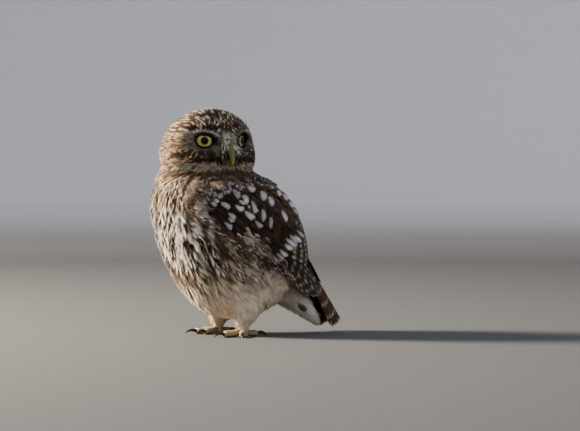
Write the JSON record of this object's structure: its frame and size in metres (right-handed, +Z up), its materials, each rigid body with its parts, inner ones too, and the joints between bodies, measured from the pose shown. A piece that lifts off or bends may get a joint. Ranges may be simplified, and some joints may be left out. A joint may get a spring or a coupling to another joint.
{
  "type": "little owl",
  "caption": "Adult little owl standing at rest with folded wings, its head turned over its left shoulder; a still, life-size animal.",
  "frame": {"origin": "bottom centre of the bounding box, on the floor that the feet stand on", "axes": "+Z up, -Y the way the breast faces, +X the bird's left, the side that the head is turned to"},
  "size_m": [0.0974, 0.165, 0.1764],
  "materials": {
    "plumage": "soft dark brown feathers with white spots and bars",
    "breast_plumage": "soft cream feathers with brown streaks",
    "pale_plumage": "soft cream-white down",
    "bill_horn": "smooth yellow-green horn",
    "claw_horn": "smooth dark horn",
    "iris": "wet, pale lemon-yellow iris round a black pupil",
    "foot_skin": "grey-buff skin with fine bristles"
  },
  "bodies": {
    "root": {"torso": "breast_plumage", "neck": "breast_plumage", "head": "plumage", "bill_upper": "bill_horn", "bill_lower": "bill_horn", "eye_left": "iris", "thigh_left": "pale_plumage", "foot_left": "foot_skin", "toe_inner_left": "foot_skin", "claw_inner_left": "claw_horn", "toe_middle_left": "foot_skin", "claw_middle_left": "claw_horn", "toe_outer_left": "foot_skin", "claw_outer_left": "claw_horn", "toe_hind_left": "foot_skin", "claw_hind_left": "claw_horn", "eye_right": "iris", "thigh_right": "pale_plumage", "foot_right": "foot_skin", "toe_inner_right": "foot_skin", "claw_inner_right": "claw_horn", "toe_middle_right": "foot_skin", "claw_middle_right": "claw_horn", "toe_outer_right": "foot_skin", "claw_outer_right": "claw_horn", "toe_hind_right": "foot_skin", "claw_hind_right": "claw_horn", "undertail_coverts": "pale_plumage", "tail": "plumage", "wing_left": "plumage", "wing_right": "plumage"}
  },
  "joints": []
}
